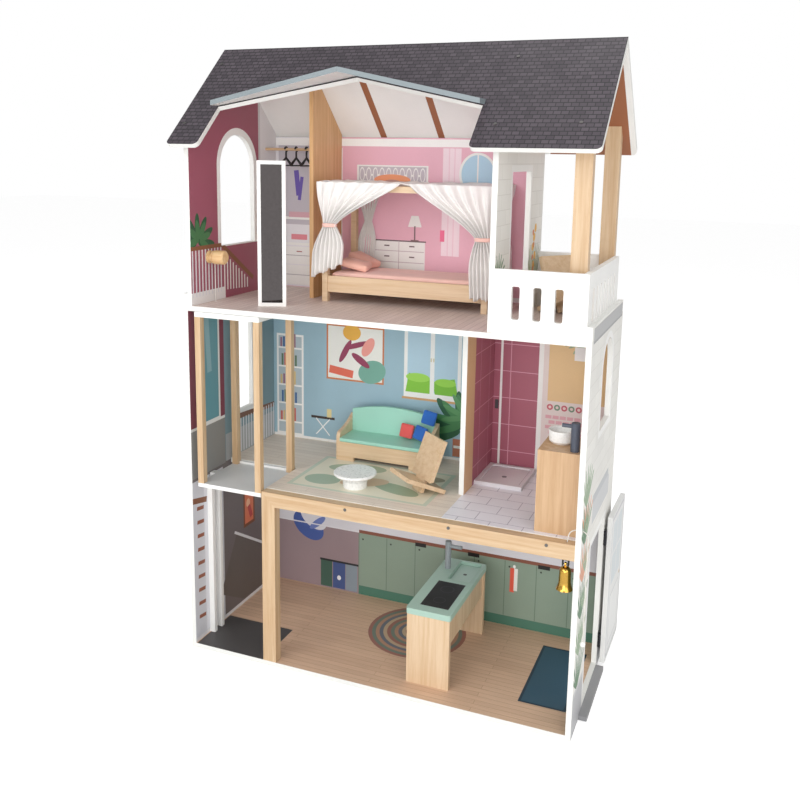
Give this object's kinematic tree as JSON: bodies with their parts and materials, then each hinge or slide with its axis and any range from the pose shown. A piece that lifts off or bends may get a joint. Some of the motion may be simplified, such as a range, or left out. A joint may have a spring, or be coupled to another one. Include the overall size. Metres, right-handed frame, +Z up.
{
  "type": "dollhouse",
  "caption": "Open-front wooden dollhouse on three floors with a hand-wound lift, side door, doorbell, roof terrace and loose furniture.",
  "frame": {"origin": "centre of the underside of the house, on the floor it stands on", "axes": "+Z up, +X to the right as seen from the open front, +Y to the back; the open front faces -Y"},
  "size_m": [0.8226, 0.4464, 1.232],
  "materials": {
    "mdf_floor": "printed satin",
    "mdf_wall": "printed satin",
    "mdf_panel": "printed satin",
    "pine": "clear lacquer",
    "white_paint": "satin paint",
    "roof_print": "printed satin",
    "turned_wood": "clear lacquer",
    "cord_white": "braided",
    "dark_steel": "satin",
    "grey_paint": "satin paint",
    "black_plastic": "matte",
    "bell_brass": "polished",
    "birch": "clear lacquer",
    "pink_fabric": "woven",
    "white_fabric": "thin woven",
    "mint_paint": "satin paint",
    "coral_fabric": "woven",
    "blue_fabric": "woven",
    "white_plastic": "gloss",
    "grey_plastic": "gloss",
    "mirror_film": "mirror"
  },
  "bodies": {
    "house": {"base_floor": "mdf_floor", "left_wall": "mdf_wall", "right_wall": "mdf_wall", "back_panel_lower": "mdf_panel", "back_panel_attic": "mdf_panel", "middle_floor": "mdf_floor", "upper_floor": "mdf_floor", "front_frame": "pine", "bath_partition": "mdf_wall", "shower_tray": "white_paint", "attic_left_wall": "mdf_wall", "attic_partition": "pine", "terrace_wall": "mdf_wall", "terrace_rails": "white_paint", "terrace_posts": "pine", "roof_front": "roof_print", "roof_back": "roof_print", "gable_boards": "roof_print", "lift_guides": "white_paint", "lift_cord": "cord_white", "hinge_wall_leaves": "dark_steel", "door_step": "grey_paint", "bell_bracket": "black_plastic", "bell_cord": "cord_white", "cord_bead": "white_paint", "wardrobe_rail": "pine", "screws": "dark_steel"},
    "lift": {"elevator_platform": "white_paint", "elevator_top": "white_paint", "elevator_posts": "pine"},
    "winder": {"winder": "turned_wood"},
    "side_door": {"side_door": "mdf_wall", "hinge_door_leaves": "dark_steel"},
    "bell": {"bell": "bell_brass", "clapper": "bell_brass"},
    "hanger_1": {"hanger_1": "black_plastic"},
    "hanger_2": {"hanger_2": "black_plastic"},
    "hanger_3": {"hanger_3": "black_plastic"},
    "bed": {"bed_frame": "birch", "canopy_rails": "birch", "mattress": "pink_fabric", "pillows": "pink_fabric", "canopy_cloth": "white_fabric", "curtains": "white_fabric"},
    "sofa": {"sofa_frame": "birch", "sofa_seat": "mint_paint", "sofa_back": "mint_paint"},
    "cushions": {"cushion_red": "coral_fabric", "cushions_blue": "blue_fabric"},
    "table": {"round_table": "white_plastic"},
    "chair_1": {"lounge_chair_1": "birch"},
    "chair_2": {"lounge_chair_2": "birch"},
    "island": {"island_frame": "birch", "island_worktop": "mint_paint", "island_faucet": "grey_plastic"},
    "vanity": {"vanity_cabinet": "birch", "vanity_basin": "white_plastic", "vanity_tap": "grey_plastic"},
    "mirror": {"mirror_frame": "white_paint", "mirror_glass": "mirror_film"}
  },
  "joints": [
    {"name": "lift_travel", "type": "slide", "parent": "house", "child": "lift", "axis": [0, 0, 1], "range_m": [-0.347, 0], "deforming": ["lift_cord"]},
    {"name": "winder_turn", "type": "hinge", "parent": "house", "child": "winder", "pos_m": [-0.385, -0.108, 0.82], "axis": [1, 0, 0], "range_deg": [-2212, 0]},
    {"name": "door_swing", "type": "hinge", "parent": "house", "child": "side_door", "pos_m": [0.403, 0.0875, 0.17], "axis": [0, 0, 1], "range_deg": [-179, 0]},
    {"name": "bell_swing", "type": "hinge", "parent": "house", "child": "bell", "pos_m": [0.373, -0.158, 0.33], "axis": [1, 0, 0], "range_deg": [-20, 20]},
    {"name": "hanger_1_swing", "type": "hinge", "parent": "house", "child": "hanger_1", "pos_m": [-0.33, 0.12, 1.035], "axis": [1, 0, 0], "range_deg": [-20, 20]},
    {"name": "hanger_2_swing", "type": "hinge", "parent": "house", "child": "hanger_2", "pos_m": [-0.305, 0.12, 1.035], "axis": [1, 0, 0], "range_deg": [-20, 20]},
    {"name": "hanger_3_swing", "type": "hinge", "parent": "house", "child": "hanger_3", "pos_m": [-0.28, 0.12, 1.035], "axis": [1, 0, 0], "range_deg": [-20, 20]},
    {"name": "bed_lift_off", "type": "slide", "parent": "house", "child": "bed", "axis": [0, 0, 1], "range_m": [0, 0.03]},
    {"name": "sofa_lift_off", "type": "slide", "parent": "house", "child": "sofa", "axis": [0, 0, 1], "range_m": [0, 0.03]},
    {"name": "table_lift_off", "type": "slide", "parent": "house", "child": "table", "axis": [0, 0, 1], "range_m": [0, 0.03]},
    {"name": "chair_1_lift_off", "type": "slide", "parent": "house", "child": "chair_1", "axis": [0, 0, 1], "range_m": [0, 0.03]},
    {"name": "chair_2_lift_off", "type": "slide", "parent": "house", "child": "chair_2", "axis": [0, 0, 1], "range_m": [0, 0.03]},
    {"name": "island_lift_off", "type": "slide", "parent": "house", "child": "island", "axis": [0, 0, 1], "range_m": [0, 0.03]},
    {"name": "vanity_lift_off", "type": "slide", "parent": "house", "child": "vanity", "axis": [0, 0, 1], "range_m": [0, 0.03]},
    {"name": "mirror_lift_off", "type": "slide", "parent": "house", "child": "mirror", "axis": [0, 0, 1], "range_m": [0, 0.03]},
    {"name": "cushions_lift_off", "type": "slide", "parent": "sofa", "child": "cushions", "axis": [0, 0, 1], "range_m": [0, 0.03]}
  ],
  "couplings": [
    {"joint": "winder_turn", "follows": "lift_travel", "rad_per_m": 111.11}
  ]
}
